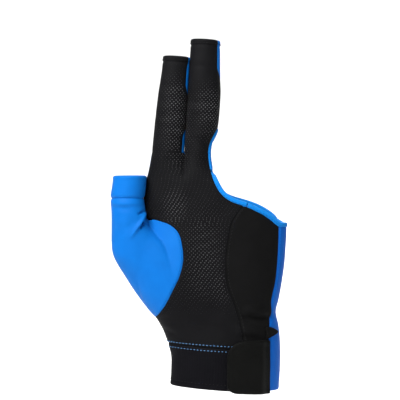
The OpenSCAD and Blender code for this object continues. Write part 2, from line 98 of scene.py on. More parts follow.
THUMB_SWAY = [[94, 0], [104, -0.2], [114, -0.8], [121, 0], [128, 0.8]]
THUMB_WIDTH = [[80, 10.5], [95, 10.3], [106, 10.1], [113, 9.9], [118, 9.8], [128, 9.5]]
TAB_LEN, SLIT_GAP = 24.4, 4
LOBE_BLEND = [[70, 13], [84, 12], [92, 8], [100, 3.5], [106, 3]]
MIDDLE_WRAP = 173.0
FABRIC_T = 0.8
THENAR_FOOT, ROOT_LOW, ROOT_HIGH = 40, 88.2, 102  # foot of the thenar panel, span of the thumb's root


# ---- curves and the skin
def curve(table, s):
    """Smooth curve through a table of [position, value] pairs."""
    t = np.array(table, float)
    s = np.asarray(s, float)
    x, y = t[:, 0], t[:, 1]
    i = np.clip(np.searchsorted(x, s, side="left") - 1, 0, len(x) - 2)
    lo, hi = np.maximum(np.arange(len(x)) - 1, 0), np.minimum(np.arange(len(x)) + 1, len(x) - 1)
    slope = (y[hi] - y[lo]) / (x[hi] - x[lo])
    h = x[i + 1] - x[i]
    u = np.clip((s - x[i]) / h, 0, 1)
    return ((1 + 2 * u) * (1 - u) ** 2 * y[i] + u * (1 - u) ** 2 * h * slope[i]
            + u ** 2 * (3 - 2 * u) * y[i + 1] + u ** 2 * (u - 1) * h * slope[i + 1])


def ramp(s, a, b):
    u = np.clip((np.asarray(s, float) - a) / (b - a), 0, 1)
    return u * u * (3 - 2 * u)


def bump(s, centre, width):
    return np.exp(-((np.asarray(s, float) - centre) / width) ** 2)


def mix(a, b, u):
    return a + (b - a) * u


def lobe(x, low, high, deep, power):
    q = 1 - (2 * (x - low) / (high - low) - 1) ** 2
    return deep * np.sign(q) * np.abs(q) ** power


def soft_max(a, b, k):
    h = np.clip(0.5 + (a - b) / k / 2, 0, 1)
    return mix(b, a, h) + k * h * (1 - h)


def left_edge(z):
    thumb = mix(np.minimum(curve(THUMB_OUTER, z), curve(PALM_EDGE, z)), curve(PALM_EDGE, z),
                ramp(z, 98, 102))
    return np.where(z < 40, curve(PALM_EDGE, z), thumb)


def middle_and_half(z):
    left, right = left_edge(z), curve(RIGHT_EDGE, z)
    return (left + right) / 2, (right - left) / 2


def palm_angle(x, z):
    mid, half = middle_and_half(np.asarray(z, float))
    return 360 - np.degrees(np.arccos(np.clip((x - mid) / half, -1, 1)))


def back_angle(x, z):
    return 360 - palm_angle(x, z)


def pads(x, z):
    return (4 * bump(x, -34, 15) * bump(z, 64, 22) + 2.4 * bump(x, 20, 13) * bump(z, 60, 24)
            - 1.2 * bump(x, -4, 12) * bump(z, 84, 18))


def palm_lobe(x, z):
    fingers = soft_max(lobe(x, curve(PALM_EDGE, z), FORK_X, STALL_DEEP, 0.45),
                       lobe(x, FORK_X, -8.5, STALL_DEEP, 0.45), 7)
    whole = lobe(x, curve(PALM_EDGE, z), curve(RIGHT_EDGE, z), curve(DEPTH_LINE, z), 0.43)
    return mix(whole, fingers, ramp(z, 122, 142))


def thumb_lobe(x, z):
    return (lobe(x, curve(THUMB_OUTER, z), curve(THUMB_INNER, z), THUMB_DEEP, 0.45)
            - 4 * (1 - ramp(z, 40, 60)) - 30 * ramp(z, 101, 104))


def hand(a, z):
    """The hand at angle a: 0 the little-finger edge, 90 the back, 180 the thumb edge, 270 the palm."""
    a, z = np.broadcast_arrays(np.asarray(a, float), np.asarray(z, float))
    mid, half = middle_and_half(z)
    x, s = mid + half * np.cos(np.radians(a)), np.sin(np.radians(a))
    deep = palm_lobe(x, z)
    bulge = np.where(deep > 0, pads(x, z) * np.abs(s), 0)
    thumb, thumb_y, palm_y = thumb_lobe(x, z), THUMB_Y * ramp(z, 42, 84), STALL_Y * ramp(z, 60, 142)
    blend = curve(LOBE_BLEND, z)
    front = -soft_max(deep + bulge - palm_y, thumb - thumb_y, blend)
    back = soft_max(deep + palm_y, thumb + thumb_y, blend)
    lift = (WRIST_LIFT + WRIST_SLOPE * (WRIST_MID - x)) * (1 - ramp(z, 24, 52))
    return np.stack([x, np.where(s < 0, front, back), z + lift], -1)


def hand_at(x, z, front):
    """The y of the hand's palm side or back at x and z."""
    a = palm_angle(x, z)
    return np.where(front, hand(a, z)[..., 1], hand(360 - a, z)[..., 1])


def stall_skin(name):
    """A stall's tube: s is the distance from its root, starting level with the hand at ROOT_Z - 1."""
    shape = STALLS[name]

    def point(a, s):
        a, s = np.broadcast_arrays(np.asarray(a, float), np.asarray(s, float))
        lo, hi = curve(shape["in"], s), curve(shape["out"], s)
        c, sn = np.cos(np.radians(a)), np.sin(np.radians(a))
        across = (lo + hi) / 2 + np.abs(hi - lo) / 2 * c
        y = STALL_Y + curve(shape["deep"], s) * np.sign(sn) * np.abs(sn) ** 0.9
        x = FORK_X + across * math.cos(STALL_LEAN) + s * math.sin(STALL_LEAN)
        z = ROOT_Z - across * math.sin(STALL_LEAN) + s * math.cos(STALL_LEAN)
        near = 1 - ramp(z, ROOT_Z - 1, ROOT_Z + 8)
        y = mix(y, hand_at(x, np.full_like(x, ROOT_Z - 1.0), sn < 0), near * (np.abs(sn) > 1e-6))
        return np.stack([x, y, z], -1)

    return point


def stall_start(name, a):
    """The s at which angle a of the stall meets the hand, level at ROOT_Z - 1."""
    shape = STALLS[name]
    lo, hi = shape["in"][0][1], shape["out"][0][1]
    across = (lo + hi) / 2 + abs(hi - lo) / 2 * np.cos(np.radians(a))
    return (-1 + across * math.sin(STALL_LEAN)) / math.cos(STALL_LEAN)


def thumb(a, v):
    """The thumb stall: v runs from 0 at the leaning root line to 1 at the open end."""
    a, v = np.broadcast_arrays(np.asarray(a, float), np.asarray(v, float))
    c, sn = np.cos(np.radians(a)), np.sin(np.radians(a))
    x0 = THUMB_X + THUMB_HALF * c
    root = THUMB_ROOT_Z + (x0 - THUMB_X) * math.tan(THUMB_LEAN)
    h = mix(root, THUMB_TOP, v)
    near = 1 - ramp(v, 0, 0.4)
    x = mix(THUMB_X + curve(THUMB_SWAY, h) + curve(THUMB_WIDTH, h) * c, x0, near)
    y = THUMB_Y + THUMB_DEEP * np.sign(sn) * np.abs(sn) ** 0.9
    return np.stack([x, mix(y, hand_at(x0, root, sn < 0), near * (np.abs(sn) > 1e-6)), h], -1)


SKINS = {"hand": hand, "index": stall_skin("index"), "middle": stall_skin("middle"), "thumb": thumb}
STEP = {"hand": 0.4, "index": 0.4, "middle": 0.4, "thumb": 0.012}


# ---- soft folds in the fabric
def fold(x, z, start, end, width, height):
    """A soft ridge, or a crease where height is negative, along a line in the front view."""
    dx, dz = end[0] - start[0], end[1] - start[1]
    t = np.clip(((x - start[0]) * dx + (z - start[1]) * dz) / (dx * dx + dz * dz), 0, 1)
    away = np.hypot(x - start[0] - t * dx, z - start[1] - t * dz)
    return height * np.exp(-(away / width) ** 2) * (1 - np.abs(2 * t - 1) ** 2.5)


PALM_FOLDS = [  # start, end, width, height
    ((10, 48.5), (29, 46), 2.6, 2.0), ((9, 44.4), (28.5, 42.8), 1.3, -2.2),
    ((6, 37.5), (27, 34), 2.4, 1.1), ((6, 33), (24, 31.2), 1.4, -0.8),
    ((-41, 41), (-27, 36), 2.2, 0.7), ((-40, 37), (-28, 33), 1.5, -0.6),
    ((-56, 90), (-45.5, 107.5), 1.1, 1.8), ((-50.6, 95.5), (-45.6, 104), 0.9, -2.3),
    ((-60, 94), (-51.5, 102), 2.6, -0.5),
    ((-62, 84), (-50, 72), 5, 0.5), ((-36, 103), (-24, 122), 4, 0.45),
    ((-10, 98), (2, 62), 6, 0.35), ((-20, 60), (4, 50), 3.5, 0.4), ((-22, 53), (0, 46), 2.4, -0.45),
    ((20, 96), (28, 78), 4, -0.4), ((-46, 128), (-30, 133), 2.5, 0.3), ((-22, 131), (-12, 127), 2.2, 0.3),
]
BACK_FOLDS = [
    ((-30, 42), (14, 38), 2.6, 0.9), ((-28, 37), (18, 33), 1.9, -0.7), ((-26, 47), (24, 44), 3, 0.5),
    ((-56, 92), (-46, 100), 1.8, 0.6), ((-44, 66), (-52, 84), 4, 0.6),
    ((-34.5, 112), (-34.5, 126), 6, 1.2), ((-16, 114), (-14, 130), 6, 1.2), ((8, 100), (-4, 80), 6, 0.5),
]
STALL_FOLDS = {
    "index": [((-44, 163), (-25, 161.5), 1.5, -0.5), ((-43, 159.5), (-25, 158), 1.9, 0.4),
              ((-42, 181), (-26, 180), 1.2, -0.3), ((-43, 147.5), (-26, 146), 1.8, 0.35)],
    "middle": [((-24, 171.5), (-4, 170), 1.5, -0.5), ((-24, 167), (-5, 165.5), 1.9, 0.4),
               ((-22, 193), (-5, 192), 1.3, -0.3), ((-23, 152), (-8, 150.5), 1.8, 0.35)],
}
THUMB_FOLDS = [((-70, 111), (-47, 110.4), 1.5, 0.7), ((-69, 108), (-54, 107.4), 1.5, -0.55),
               ((-56, 90), (-45.5, 107.5), 1.1, 1.8), ((-52, 104), (-45.2, 107.9), 0.8, -1.7),
               ((-50.6, 95.5), (-45.6, 104), 0.9, -2.3), ((-60, 94), (-51.5, 102), 2.6, -0.5),
               ((-68, 101), (-56, 98), 2.6, 0.35)]


def drift(p):
    """Slight unevenness of the knit from wear, in millimetres."""
    x, y, z = p[..., 0], p[..., 1], p[..., 2]
    return (0.10 * np.sin(x / 5.3 + 0.7) * np.cos(z / 7.1) + 0.08 * np.sin(z / 4.1 + x / 9.3 + 1.9)
            + 0.06 * np.sin(x / 2.9 - z / 6.7 + y / 4.4) + 0.03 * np.sin(z / 2.3 + y / 3.1 + 0.4))


def relief(skin, a, p):
    """How far the fabric stands off the smooth skin."""
    x, z, front = p[..., 0], p[..., 2], np.sin(np.radians(a)) < 0
    if skin == "hand":
        groups = ((PALM_FOLDS, front), (BACK_FOLDS, ~front))
    elif skin == "thumb":
        groups = ((THUMB_FOLDS, np.full(front.shape, True)),)
    else:
        groups = ((STALL_FOLDS[skin], np.full(front.shape, True)),)
    total = drift(p)
    for folds, where in groups:
        for start, end, width, height in folds:
            total = total + np.where(where, fold(x, z, start, end, width, height), 0)
    return total * np.abs(np.sin(np.radians(a))) ** 0.5


def skin_point(skin, a, s, off):
    """Point at offset off from the fabric's outer face, and the outward normal, in millimetres."""
    f, d = SKINS[skin], STEP[skin]
    p = f(a, s)
    n = np.cross(f(a + 0.7, s) - f(a - 0.7, s), f(a, s + d) - f(a, s - d))
    n = n / np.maximum(np.linalg.norm(n, axis=-1, keepdims=True), 1e-9)
    return p + n * (relief(skin, a, p) + off)[..., None], n


# ---- meshes
def make_mesh(name, points, faces, uv):
    """A mesh object from points in millimetres; uv holds one pair for each point, in millimetres."""
    mesh = bpy.data.meshes.new(name)
    mesh.from_pydata((np.asarray(points) * M).tolist(), [], [list(map(int, f)) for f in faces])
    layer = mesh.uv_layers.new(name="cloth")
    corner = np.zeros(len(mesh.loops), np.int32)
    mesh.loops.foreach_get("vertex_index", corner)
    layer.data.foreach_set("uv", np.asarray(uv, np.float32)[corner].ravel())
    mesh.polygons.foreach_set("use_smooth", [True] * len(mesh.polygons))
    mesh.validate()
    mesh.update()
    o = bpy.data.objects.new(name, mesh)
    bpy.context.scene.collection.objects.link(o)
    return o


def run_along(points):
    """Distance from the start of a path to each of its points."""
    return np.concatenate([[0], np.cumsum(np.linalg.norm(np.diff(points, axis=0), axis=1))])


def run_lengths(p, axis):
    """Distances along the rows (axis 1) or columns (axis 0) of a grid of points."""
    step = np.linalg.norm(np.diff(p, axis=axis), axis=-1)
    pad = [(0, 0), (0, 0)]
    pad[axis] = (1, 0)
    return np.cumsum(np.pad(step, pad), axis=axis)


SIZES = {}  # widest row, longest column and area of each panel, in metres
SEAM_DIP = 0.8  # how far from a sewn edge the fabric dips into its seam
ROLL_AT, ROLL_WIDTH, EDGE_WIDTH = 1.1, 0.8, 0.35  # swell behind a folded edge, its width, and the edge's


def panel(name, skin, a, s, off=0.0, t=FABRIC_T, sewn="", rolled="", cut="", roll=0.45):
    """A closed shell over a grid of angles a and heights s. The letters l, r, b and t name its sides:
    sewn sides dip into their seam, rolled sides are folded edges, and cut sides carry on in another piece."""
    outer, n = skin_point(skin, a, s, np.zeros(a.shape) + off)
    across, along = run_lengths(outer, 1), run_lengths(outer, 0)
    away = {"l": across, "r": across[:, -1:] - across, "b": along, "t": along[-1:] - along}
    dip, thin = np.zeros(a.shape), np.ones(a.shape)
    for side in sewn:
        dip = np.maximum(dip, np.exp(-(away[side] / SEAM_DIP) ** 2))
    for side in rolled:
        swell = 0.35 * np.exp(-((away[side] - ROLL_AT) / ROLL_WIDTH) ** 2)
        thin = thin * (1 + swell - 0.3 * np.exp(-(away[side] / EDGE_WIDTH) ** 2))
    outer = outer - n * (roll * dip)[..., None] + n * (t * 0.5 * (thin - 1))[..., None]
    inner = outer - n * (t * thin)[..., None]
    rows, cols = a.shape
    k = rows * cols
    index = np.arange(k).reshape(rows, cols)
    quads = np.stack([index[:-1, :-1], index[:-1, 1:], index[1:, 1:], index[1:, :-1]], -1).reshape(-1, 4)
    points = [outer.reshape(-1, 3), inner.reshape(-1, 3)]
    faces = [quads, quads[:, ::-1] + k]
    height = outer[..., 2]
    ref = across - across[:, :1] + row_start(skin, a, s)
    uv = np.stack([ref, height], -1).reshape(-1, 2)
    uvs = [uv, uv]
    sides = {"b": (index[0], outer[0] - outer[1]), "r": (index[:, -1], outer[:, -1] - outer[:, -2]),
             "t": (index[-1][::-1], (outer[-1] - outer[-2])[::-1]),
             "l": (index[:, 0][::-1], (outer[:, 0] - outer[:, 1])[::-1])}
    ring, push = [], []
    for side, (row, away_from) in sides.items():
        unit = away_from / np.maximum(np.linalg.norm(away_from, axis=-1, keepdims=True), 1e-9)
        unit[0] = 0
        ring.append(row[:-1])
        push.append(unit[:-1] * (0 if side in cut else t * 0.28))
    ring, push = np.concatenate(ring), np.concatenate(push)
    points.append((points[0][ring] + points[1][ring]) / 2 + push)
    uvs.append(uv[ring])
    middle = 2 * k + np.arange(len(ring))
    after, middle_after = np.roll(ring, -1), np.roll(middle, -1)
    faces.append(np.stack([ring, middle, middle_after, after], -1))
    faces.append(np.stack([middle, ring + k, after + k, middle_after], -1))
    o = make_mesh(name + "_cloth", np.concatenate(points), np.concatenate(faces), np.concatenate(uvs))
    label = np.zeros(len(o.data.vertices), np.int32)
    for number, side in enumerate(cut):
        row = sides[side][0]
        label[row], label[row + k] = number + 1, number + 11
    ends = np.zeros(2 * len(o.data.edges), np.int32)
    o.data.edges.foreach_get("vertices", ends)
    pair = label[ends.reshape(-1, 2)]
    sharp = o.data.attributes.new("sharp_edge", "BOOLEAN", "EDGE")
    sharp.data.foreach_set("value", (pair[:, 0] > 0) & (pair[:, 0] == pair[:, 1]))
    corner = outer[:-1, :-1]
    cells = np.linalg.norm(np.cross(outer[:-1, 1:] - corner, outer[1:, :-1] - corner), axis=-1)
    SIZES[o.name] = (across[:, -1].max() * M, along[-1].max() * M, cells.sum() * M * M)
    return o


def row_start(skin, a, s):
    """Distance round the skin from the middle of the palm side to where each row starts."""
    share = np.linspace(0, 1, 24)[None, :]
    ring = SKINS[skin](mix(270.0, a[:, :1], share), np.repeat(s[:, :1], 24, 1))
    return (run_lengths(ring, 1)[:, -1:]) * np.sign(a[:, :1] - 270)


def grid(heights, start, end, pitch, skin="hand"):
    """Angles and heights of a panel whose rows run between two angle functions."""
    z = np.asarray(heights, float)
    first, last = np.broadcast_to(start(z), z.shape), np.broadcast_to(end(z), z.shape)
    share = np.linspace(0, 1, 20)
    rows = SKINS[skin](mix(first[:, None], last[:, None], share), np.repeat(z[:, None], 20, 1))
    count = max(int(run_lengths(rows, 1)[:, -1].max() / pitch), 4)
    u = np.linspace(0, 1, count + 1)[None, :]
    return mix(first[:, None], last[:, None], u), np.repeat(z[:, None], count + 1, 1)


def spaced(low, high, pitch):
    return np.linspace(low, high, max(int(round((high - low) / pitch)), 2) + 1)


def smoothed(values, rounds=3):
    """The values with their inner ones averaged with their neighbours."""
    v = np.array(values, float)
    for _ in range(rounds):
        v[1:-1] = v[1:-1] / 2 + (v[:-2] + v[2:]) / 4
    return v


def frames_along(points, normals):
    """Tangent, side and up directions along a path."""
    t = np.gradient(points, axis=0)
    t /= np.linalg.norm(t, axis=1, keepdims=True)
    side = np.cross(t, normals)
    side /= np.maximum(np.linalg.norm(side, axis=1, keepdims=True), 1e-9)
    return t, side, np.cross(side, t)


def resampled(points, pitch):
    """Distances a pitch apart along a path, and the distance of each of its own points."""
    run = run_along(points)
    at = np.linspace(0, run[-1], max(int(run[-1] / pitch), 2) + 1)
    return at, run


def path_on(skin, a, s, pitch, off=0.0, shift=0.0):
    """Evenly spaced points and normals along angles a and heights s, moved sideways by shift."""
    p, _ = skin_point(skin, a, s, np.zeros(len(a)))
    at, run = resampled(p, pitch)
    a2, s2 = np.interp(at, run, a), np.interp(at, run, s)
    p, n = skin_point(skin, a2, s2, np.zeros(len(a2)) + off)
    _, side, _ = frames_along(p, n)
    return p + side * shift, n


def tape(name, points, normals, width, thick):
    """A folded tape: a flattened tube with small puckers between its stitches."""
    sides = 14
    _, side, up = frames_along(points, normals)
    run = run_along(points)
    b = 2 * np.pi * np.arange(sides) / sides
    flat = lambda v: np.sign(v) * np.abs(v) ** 0.75
    pucker = 1 + 0.07 * np.cos(2 * np.pi * run / 2.4) + 0.03 * np.sin(run / 3.7)
    ring = (side[:, None, :] * (width / 2 * flat(np.cos(b)))[None, :, None]
            + up[:, None, :] * (thick / 2 * flat(np.sin(b)))[None, :, None] * pucker[:, None, None])
    pts = (points[:, None, :] + ring).reshape(-1, 3)
    m = len(points)
    i, j = np.meshgrid(np.arange(sides), np.arange(m - 1))
    nxt = (i + 1) % sides
    here, there = j * sides, (j + 1) * sides
    faces = np.stack([here + i, here + nxt, there + nxt, there + i], -1).reshape(-1, 4)
    caps = [[k + 1, k, 0] for k in range(1, sides - 1)]
    top = (m - 1) * sides
    caps += [[top, top + k, top + k + 1] for k in range(1, sides - 1)]
    uv = np.stack(np.broadcast_arrays((b * width / 4)[None, :], run[:, None]), -1).reshape(-1, 2)
    return make_mesh(name, pts, faces.tolist() + caps, uv)


def copies(name, shape, faces, points, t, side, up, scale=None, tone=None):
    """Copies of a small closed shape at each point, in its local tangent, side and up directions."""
    scale = np.ones(len(points)) if scale is None else scale
    local = (shape[None, :, 0, None] * t[:, None, :] + shape[None, :, 1, None] * side[:, None, :]
             + shape[None, :, 2, None] * up[:, None, :]) * scale[:, None, None]
    pts = (points[:, None, :] + local).reshape(-1, 3)
    k = len(shape)
    every = [[v + c * k for v in f] for c in range(len(points)) for f in faces]
    o = make_mesh(name, pts, every, pts[:, [0, 2]])
    # Where given, tone is the painted highlight of each copy, kept as a point attribute for its material.
    if tone is not None:
        highlight_paint = o.data.attributes.new("painted_highlight", "FLOAT", "POINT")
        highlight_paint.data.foreach_set("value", np.repeat(tone, k))
    return o


def thread_shape(length, radius):
    """One stitch: a short thread that dips into the fabric at both ends."""
    rings, sides = 5, 6
    u = np.linspace(-1, 1, rings)
    r = radius * np.sqrt(np.maximum(1 - 0.75 * u ** 4, 0.1))
    b = 2 * np.pi * np.arange(sides) / sides
    pts = [[length / 2 * u[j], r[j] * math.cos(v), r[j] * math.sin(v) - radius * 1.3 * u[j] ** 4]
           for j in range(rings) for v in b]
    faces = [[j + i, j + (i + 1) % sides, j + sides + (i + 1) % sides, j + sides + i]
             for j in range(0, (rings - 1) * sides, sides) for i in range(sides)]
    faces += [list(range(sides))[::-1], [(rings - 1) * sides + i for i in range(sides)]]
    return np.array(pts), faces


def stitches(name, paths, pitch, length, radius):
    """Rows of stitches along paths of (points, normals)."""
    shape, faces = thread_shape(length, radius)
    p, t, side, up = [], [], [], []
    for points, normals in paths:
        at, run = resampled(points, pitch)
        if len(at) < 3:
            continue
        q = np.stack([np.interp(at, run, points[:, i]) for i in range(3)], -1)
        n = np.stack([np.interp(at, run, normals[:, i]) for i in range(3)], -1)
        tt, ss, uu = frames_along(q, n)
        p.append(q), t.append(tt), side.append(ss), up.append(uu)
    return copies(name, shape, faces, *map(np.concatenate, (p, t, side, up)))


def dot_shape(radius, height):
    sides = 7
    b = 2 * np.pi * np.arange(sides) / sides
    pts = [[radius * math.cos(v), radius * math.sin(v), -0.05] for v in b]
    pts += [[radius * 0.72 * math.cos(v), radius * 0.72 * math.sin(v), height * 0.75] for v in b]
    pts.append([0, 0, height])
    faces = [[i, (i + 1) % sides, sides + (i + 1) % sides, sides + i] for i in range(sides)]
    faces += [[sides + i, sides + (i + 1) % sides, 2 * sides] for i in range(sides)]
    faces.append(list(range(sides))[::-1])
    return np.array(pts), faces


DOT_COLUMN, DOT_ROW, DOT_RADIUS, DOT_HEIGHT = 2.3, 1.15, 0.38, 0.16
# x, height, half width, half height and strength of each patch of painted highlight on the grip dots
GRIP_PAINTED_HIGHLIGHT = [(-29, 160, 7, 26, 1.0), (-9, 168, 7, 15, 1.0), (-30, 109, 7, 10, 0.9), (-13, 80, 13, 28, 0.6),
              (-2, 62, 10, 12, 0.6)]


def high_end(skin):
    """Height at which a stall's grip dots end."""
    return ROOT_Z + STALLS[skin]["dots"]


def grip_dots(name, skin, low, high, start, end, margin=1.6, root=None):
    """Raised dots on a diagonal lattice between two angle functions."""
    pts, nrm, size = [], [], []
    for r in range(int(math.ceil(low / DOT_ROW)), int(high / DOT_ROW) + 1):
        s = r * DOT_ROW
        a0, a1 = float(start(np.array(s))), float(end(np.array(s)))
        a = np.linspace(a0, a1, 80)
        if root is not None:
            a = a[s >= root(a) + 0.3]
            if len(a) < 3:
                continue
        p = SKINS[skin](a, np.full(len(a), s))
        run = run_along(p)
        ref = SKINS[skin](np.linspace(270.0, a[0], 24), np.full(24, s))
        first = np.linalg.norm(np.diff(ref, axis=0), axis=1).sum() * np.sign(a[0] - 270)
        shift = DOT_COLUMN / 2 * (r % 2)
        cols = np.arange(math.ceil((first + margin - shift) / DOT_COLUMN),
                         math.floor((first + run[-1] - margin - shift) / DOT_COLUMN) + 1)
        if not len(cols):
            continue
        at = np.interp(cols * DOT_COLUMN + shift - first, run, a)
        wander = np.sin(cols * 12.9898 + r * 78.233) * 43758.5453
        q, n = skin_point(skin, at, s + 0.3 * (wander - np.floor(wander) - 0.5), np.zeros(len(at)))
        pts.append(q), nrm.append(n)
        inset = cols * DOT_COLUMN + shift - first
        size.append(0.7 + 0.3 * ramp(np.minimum(run[-1] - inset, inset), 0, 5))
    q, n, size = np.concatenate(pts), np.concatenate(nrm), np.concatenate(size)
    size = size * (0.88 + 0.14 * np.sin(q[:, 0] * 3.1 + q[:, 2] * 1.7)) * (0.3 + 0.7 * ramp(q[:, 2], 42, 62))
    # Painted highlight: each dot's brightness comes from the patches listed above, and the dots' material
    # turns it into a lighter colour; dots are also drawn smaller where it is low.
    painted_highlight = np.zeros(len(q)) + 0.06
    for x, z, wide, tall, strength in GRIP_PAINTED_HIGHLIGHT:
        painted_highlight = np.maximum(painted_highlight, strength * bump(q[:, 0], x, wide) * bump(q[:, 2], z, tall))
    size = size * (0.55 + 0.45 * ramp(painted_highlight, 0, 0.5))
    if skin in STALLS:
        size = size * (1 - 0.75 * ramp(q[:, 2], high_end(skin) - 16, high_end(skin)))
    up = np.broadcast_to([0.0, 0.0, 1.0], n.shape)
    t = np.cross(up, n)
    t /= np.linalg.norm(t, axis=1, keepdims=True)
    shape, faces = dot_shape(DOT_RADIUS, DOT_HEIGHT)
    return copies(name, shape, faces, q, t, np.cross(n, t), n, size, painted_highlight)


# ---- materials
def nodes_of(name):
    """A new material and its shader."""
    m = bpy.data.materials.new(name)
    m.use_nodes = True
    return m, m.node_tree.nodes["Principled BSDF"]


class Wiring:
    """Short names for adding math and colour nodes to one material."""

    def __init__(self, tree):
        self.tree = tree

    def node(self, kind, **inputs):
        n = self.tree.nodes.new(kind)
        for key, value in inputs.items():
            self.put(n, key.replace("_", " "), value)
        return n

    def put(self, n, key, value):
        socket = n.inputs[int(key)] if key.isdigit() else n.inputs[key]
        if isinstance(value, bpy.types.NodeSocket):
            self.tree.links.new(value, socket)
        else:
            socket.default_value = value

    def math(self, op, a, b=0.0):
        n = self.tree.nodes.new("ShaderNodeMath")
        n.operation = op
        self.put(n, "0", a)
        self.put(n, "1", b)
        return n.outputs[0]

    def noise(self, vector, scale, detail=2.0):
        n = self.node("ShaderNodeTexNoise", Vector=vector, Scale=scale, Detail=detail)
        return n.outputs["Fac"]

    def tones(self, fac, low, high):
        n = self.tree.nodes.new("ShaderNodeMix")
        n.data_type = "RGBA"
        self.put(n, "Factor", fac)
        n.inputs["A"].default_value = (*low, 1)
        n.inputs["B"].default_value = (*high, 1)
        return n.outputs["Result"]

    def emboss(self, shader, strength, distance, height):
        n = self.node("ShaderNodeBump", Strength=strength, Distance=distance, Height=height)
        self.put(shader, "Normal", n.outputs[0])


def cloth_material(name):
    """A new material, its shader, its wiring, and its cloth coordinates in millimetres."""
    m, shader = nodes_of(name)
    place = m.node_tree.nodes.new("ShaderNodeUVMap")
    place.uv_map = "cloth"
    return m, shader, Wiring(m.node_tree), place.outputs[0]


def knit(name, low, high, wale=0.5, course=0.42, bump=0.35, rough=0.62, sheen=0.05, sheen_tint=(1, 1, 1),
         specular=0.06, ribs=0.0):
    """Fine stretch knit: V-shaped loops in columns, with painted shade in the grooves between them and a
    slight random unevenness of tone.
    """
    m, shader, w, uv = cloth_material(name)
    split = w.node("ShaderNodeSeparateXYZ", Vector=uv)
    u = w.math("MULTIPLY", split.outputs["X"], 1 / wale)
    v = w.math("MULTIPLY", split.outputs["Y"], 1 / course)
    column = w.math("ABSOLUTE", w.math("SINE", w.math("MULTIPLY", u, math.pi)))
    slant = w.math("MULTIPLY", w.math("COSINE", w.math("MULTIPLY", u, 2 * math.pi)), 0.3)
    loop = w.math("SINE", w.math("MULTIPLY", w.math("ADD", v, slant), 2 * math.pi))
    height = w.math("ADD", w.math("MULTIPLY", column, 0.6),
                    w.math("MULTIPLY", w.math("MULTIPLY", loop, column), 0.25))
    if ribs:
        rib = w.math("SINE", w.math("MULTIPLY", split.outputs["X"], 2 * math.pi / 1.6))
        height = w.math("ADD", height, w.math("MULTIPLY", rib, ribs))
    cloudy = w.noise(uv, 0.11, 3.0)
    fibre = w.noise(uv, 3.1)
    # The colour mixes painted shade, darker where the knit's height is low in its grooves, with random
    # unevenness of tone from the two noises.
    tone = w.math("ADD", w.math("MULTIPLY", height, 0.45),
                  w.math("ADD", w.math("MULTIPLY", cloudy, 0.5), w.math("MULTIPLY", fibre, 0.18)))
    w.put(shader, "Base Color", w.tones(tone, low, high))
    w.put(shader, "Roughness", w.math("ADD", w.math("MULTIPLY", fibre, 0.14), rough - 0.07))
    w.emboss(shader, bump, 0.00012, height)
    shader.inputs["Sheen Weight"].default_value = sheen
    shader.inputs["Sheen Roughness"].default_value = 0.45
    shader.inputs["Sheen Tint"].default_value = (*sheen_tint, 1)
    shader.inputs["Specular IOR Level"].default_value = specular
    return m


def thread(name, low, high):
    """Twisted sewing thread."""
    m, shader, w, uv = cloth_material(name)
    twist = w.noise(uv, 6.0, 1.0)
    w.put(shader, "Base Color", w.tones(twist, low, high))
    shader.inputs["Roughness"].default_value = 0.6
    shader.inputs["Sheen Weight"].default_value = 0.03
    shader.inputs["Specular IOR Level"].default_value = 0.08
    w.emboss(shader, 0.3, 0.00008, twist)
    return m


def grip_rubber(name):
    """Grip dots: soft grey rubber, with painted highlights: lighter where the dots' painted highlight
    attribute is high, darker where it is low.
    """
    m, shader, w, uv = cloth_material(name)
    highlight_paint = w.node("ShaderNodeAttribute")
    highlight_paint.attribute_name = "painted_highlight"
    fleck = w.math("ADD", w.noise(uv, 0.7), 0.5)
    # Painted highlight times a random fleck sets each dot's colour.
    tone = w.math("MULTIPLY", highlight_paint.outputs["Fac"], fleck)
    w.put(shader, "Base Color", w.tones(tone, (0.0075, 0.0075, 0.0078), (0.115, 0.115, 0.12)))
    shader.inputs["Roughness"].default_value = 0.42
    shader.inputs["Specular IOR Level"].default_value = 0.2
    return m


def pile(name, low, high, scale):
    """Brushed loop pile or hook tape: a dense speckle."""
    m, shader, w, uv = cloth_material(name)
    cells = w.node("ShaderNodeTexVoronoi", Vector=uv, Scale=scale)
    w.put(shader, "Base Color", w.tones(cells.outputs["Distance"], low, high))
    shader.inputs["Roughness"].default_value = 0.8
    shader.inputs["Sheen Weight"].default_value = 0.4
    w.emboss(shader, 0.8, 0.0003, cells.outputs["Distance"])
    return m


